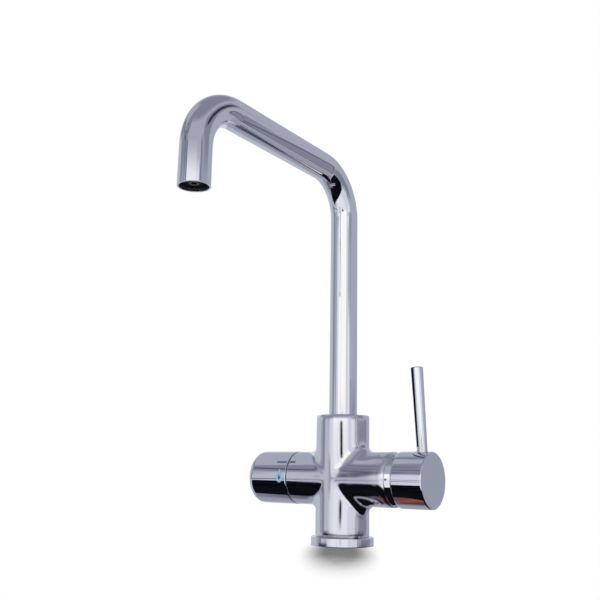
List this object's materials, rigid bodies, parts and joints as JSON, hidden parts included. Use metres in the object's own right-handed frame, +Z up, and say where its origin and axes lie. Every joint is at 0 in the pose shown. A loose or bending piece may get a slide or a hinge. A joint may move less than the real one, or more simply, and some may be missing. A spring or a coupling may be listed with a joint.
{
  "type": "kitchen tap",
  "caption": "Deck-mounted kitchen tap with a square swivel spout, a side mixer lever and a filtered-water knob on a cross-shaped body.",
  "frame": {"origin": "centre of the tap's base, on the worktop, on the column's axis", "axes": "+Z up along the column; the spout points to -Y, the mixer lever is on +X and the filtered-water knob on -X"},
  "size_m": [0.1701, 0.237, 0.3335],
  "materials": {
    "chrome": "polished",
    "brass": "satin",
    "steel": "satin",
    "grey_plastic": "matte",
    "white_plastic": "satin",
    "flow_grid": "satin",
    "rubber": "matte",
    "ceramic": "satin"
  },
  "bodies": {
    "tap_body": {"body_casting": "chrome", "base_ring": "chrome", "base_seal": "rubber", "spout_retaining_screw": "steel", "filtered_riser": "brass", "riser_o_ring": "rubber", "cartridge_housing": "grey_plastic", "cartridge_seals": "rubber", "cartridge_fixed_disc": "ceramic", "cartridge_nut": "brass", "dome_ring": "chrome", "headwork": "brass", "headwork_seat_washer": "rubber", "headwork_fixed_disc": "ceramic"},
    "spout": {"spout_tube": "chrome", "spout_spigot": "brass", "spout_guide_rings": "white_plastic", "spout_o_rings": "rubber", "filtered_tube": "white_plastic", "aerator_housing": "grey_plastic", "aerator_core": "flow_grid", "aerator_washer": "rubber", "filtered_nozzle": "brass"},
    "mixer_turn": {"cartridge_rotor": "grey_plastic", "stem_pin": "steel"},
    "mixer_lever": {"cartridge_stem": "brass", "lever_cap": "chrome", "lever_rod": "chrome", "lever_screw": "steel"},
    "mixer_disc": {"disc_carrier": "grey_plastic", "cartridge_moving_disc": "ceramic"},
    "filter_handle": {"filter_knob": "chrome", "headwork_spindle": "brass", "headwork_moving_disc": "ceramic", "spindle_o_rings": "rubber", "spindle_clip": "steel", "knob_screw": "steel"}
  },
  "joints": [
    {"name": "spout_swivel", "type": "hinge", "parent": "tap_body", "child": "spout", "pos_m": [0, 0, 0.078], "axis": [0, 0, 1], "continuous": true},
    {"name": "temperature_turn", "type": "hinge", "parent": "tap_body", "child": "mixer_turn", "pos_m": [0.042, 0, 0.054], "axis": [1, 0, 0], "range_deg": [-50, 50]},
    {"name": "flow_tilt", "type": "hinge", "parent": "mixer_turn", "child": "mixer_lever", "pos_m": [0.042, 0, 0.054], "axis": [0, 1, 0], "range_deg": [0, 25]},
    {"name": "disc_slide", "type": "slide", "parent": "mixer_turn", "child": "mixer_disc", "axis": [0, 0, 1], "range_m": [0, 0.0035]},
    {"name": "filter_turn", "type": "hinge", "parent": "tap_body", "child": "filter_handle", "pos_m": [-0.0437, 0, 0.054], "axis": [-1, 0, 0], "range_deg": [0, 90]}
  ],
  "couplings": [
    {"joint": "disc_slide", "follows": "flow_tilt", "m_per_rad": 0.008}
  ]
}
